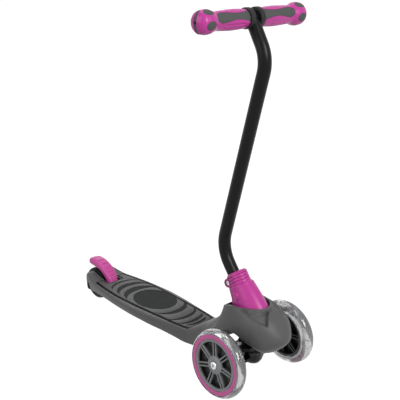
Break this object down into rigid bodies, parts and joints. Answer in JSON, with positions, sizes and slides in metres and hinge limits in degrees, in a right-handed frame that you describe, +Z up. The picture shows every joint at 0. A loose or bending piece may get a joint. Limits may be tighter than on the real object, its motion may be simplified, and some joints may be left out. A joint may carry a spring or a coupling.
{
  "type": "scooter",
  "caption": "Child's lean-to-steer scooter with a wheel either side of a rounded front cowl, a slotted tread deck, a bent steering column, a foot brake and ball-ended grips",
  "frame": {"origin": "middle of the bounding box in plan, on the floor", "axes": "+X to the front, +Y to the rider's left, +Z up"},
  "size_m": [0.5624, 0.2358, 0.64],
  "materials": {
    "deck_grey": "fine grained moulded plastic",
    "tread_grey": "fine grained moulded plastic",
    "soft_dark": "matte soft rubber",
    "black_plastic": "moulded plastic with a slight sheen",
    "black_paint": "glossy powder coat",
    "pink": "smooth semi gloss",
    "clear_tyre": "glossy smoky clear urethane",
    "rear_tyre": "satin urethane",
    "steel": "zinc plated",
    "grip_grey": "soft matte grip"
  },
  "bodies": {
    "deck_body": {"deck": "deck_grey", "grip_underlay": "soft_dark", "tread_plate": "tread_grey", "steering_truck": "black_plastic", "truck_screw_1": "steel", "truck_screw_2": "steel", "truck_screw_3": "steel", "truck_screw_4": "steel", "kingpin_left": "steel", "kingpin_right": "steel", "kingpin_nut_left": "steel", "kingpin_nut_right": "steel", "kingpin_washer_left": "steel", "kingpin_washer_right": "steel", "pivot_pin": "steel", "pivot_nut": "steel", "centring_spring_left": "steel", "centring_spring_right": "steel", "rear_axle_bolt": "steel", "rear_axle_nut": "steel", "rear_spacer": "steel", "brake_pin": "steel", "brake_spring": "steel"},
    "column": {"collar": "pink", "clamp_bolt": "steel", "clamp_nut": "steel", "column_tube": "black_paint", "crossbar": "black_paint", "grip_core_left": "grip_grey", "grip_core_right": "grip_grey", "grip_shell_left": "pink", "grip_shell_right": "pink", "button_spring": "steel"},
    "button": {"release_button": "pink"},
    "tie": {"tie_plate": "black_plastic"},
    "knuckle_l": {"knuckle_left": "black_plastic", "axle_bolt_left": "steel", "axle_spacer_left": "steel"},
    "knuckle_r": {"knuckle_right": "black_plastic", "axle_bolt_right": "steel", "axle_spacer_right": "steel"},
    "wheel_l": {"tyre_left": "clear_tyre", "trim_ring_left": "pink", "hub_face_left": "tread_grey", "hub_core_left": "black_plastic", "bearing_inner_left": "steel", "bearing_outer_left": "steel"},
    "wheel_r": {"tyre_right": "clear_tyre", "trim_ring_right": "pink", "hub_face_right": "tread_grey", "hub_core_right": "black_plastic", "bearing_inner_right": "steel", "bearing_outer_right": "steel"},
    "wheel_rear": {"rear_tyre": "rear_tyre", "rear_hub": "black_plastic", "rear_bearing_left": "steel", "rear_bearing_right": "steel"},
    "brake": {"brake_fender": "pink"}
  },
  "joints": [
    {"name": "column_lean", "type": "hinge", "parent": "deck_body", "child": "column", "pos_m": [0.20775, 0, 0.111], "axis": [1, 0, 0], "range_deg": [-8, 8], "stiffness_Nm_per_rad": 14, "deforming": ["centring_spring_left", "centring_spring_right"]},
    {"name": "tie_slide", "type": "slide", "parent": "deck_body", "child": "tie", "axis": [0, 1, 0], "range_m": [-0.007, 0.007]},
    {"name": "steer_left", "type": "hinge", "parent": "deck_body", "child": "knuckle_l", "pos_m": [0.20775, 0.038, 0.06], "axis": [0, 0, 1], "range_deg": [-15, 15]},
    {"name": "steer_right", "type": "hinge", "parent": "deck_body", "child": "knuckle_r", "pos_m": [0.20775, -0.038, 0.06], "axis": [0, 0, 1], "range_deg": [-15, 15]},
    {"name": "spin_left", "type": "hinge", "parent": "knuckle_l", "child": "wheel_l", "pos_m": [0.20775, 0.0854, 0.05991], "axis": [0, 0.9981, 0.061], "continuous": true},
    {"name": "spin_right", "type": "hinge", "parent": "knuckle_r", "child": "wheel_r", "pos_m": [0.20775, -0.0854, 0.05991], "axis": [0, 0.9981, -0.061], "continuous": true},
    {"name": "spin_rear", "type": "hinge", "parent": "deck_body", "child": "wheel_rear", "pos_m": [-0.24725, 0, 0.034], "axis": [0, 1, 0], "continuous": true},
    {"name": "brake_press", "type": "hinge", "parent": "deck_body", "child": "brake", "pos_m": [-0.19425, 0, 0.046], "axis": [0, -1, 0], "range_deg": [0, 3.5], "stiffness_Nm_per_rad": 0.8, "springref_deg": -11.46, "deforming": ["brake_spring"]},
    {"name": "button_press", "type": "slide", "parent": "column", "child": "button", "axis": [0, 1, 0], "range_m": [0, 0.003], "stiffness_N_per_m": 400, "springref_m": -0.001, "deforming": ["button_spring"]}
  ],
  "couplings": [
    {"joint": "tie_slide", "follows": "column_lean", "m_per_rad": 0.047844},
    {"joint": "steer_left", "follows": "column_lean", "ratio": -1.861},
    {"joint": "steer_right", "follows": "column_lean", "ratio": -1.861}
  ]
}
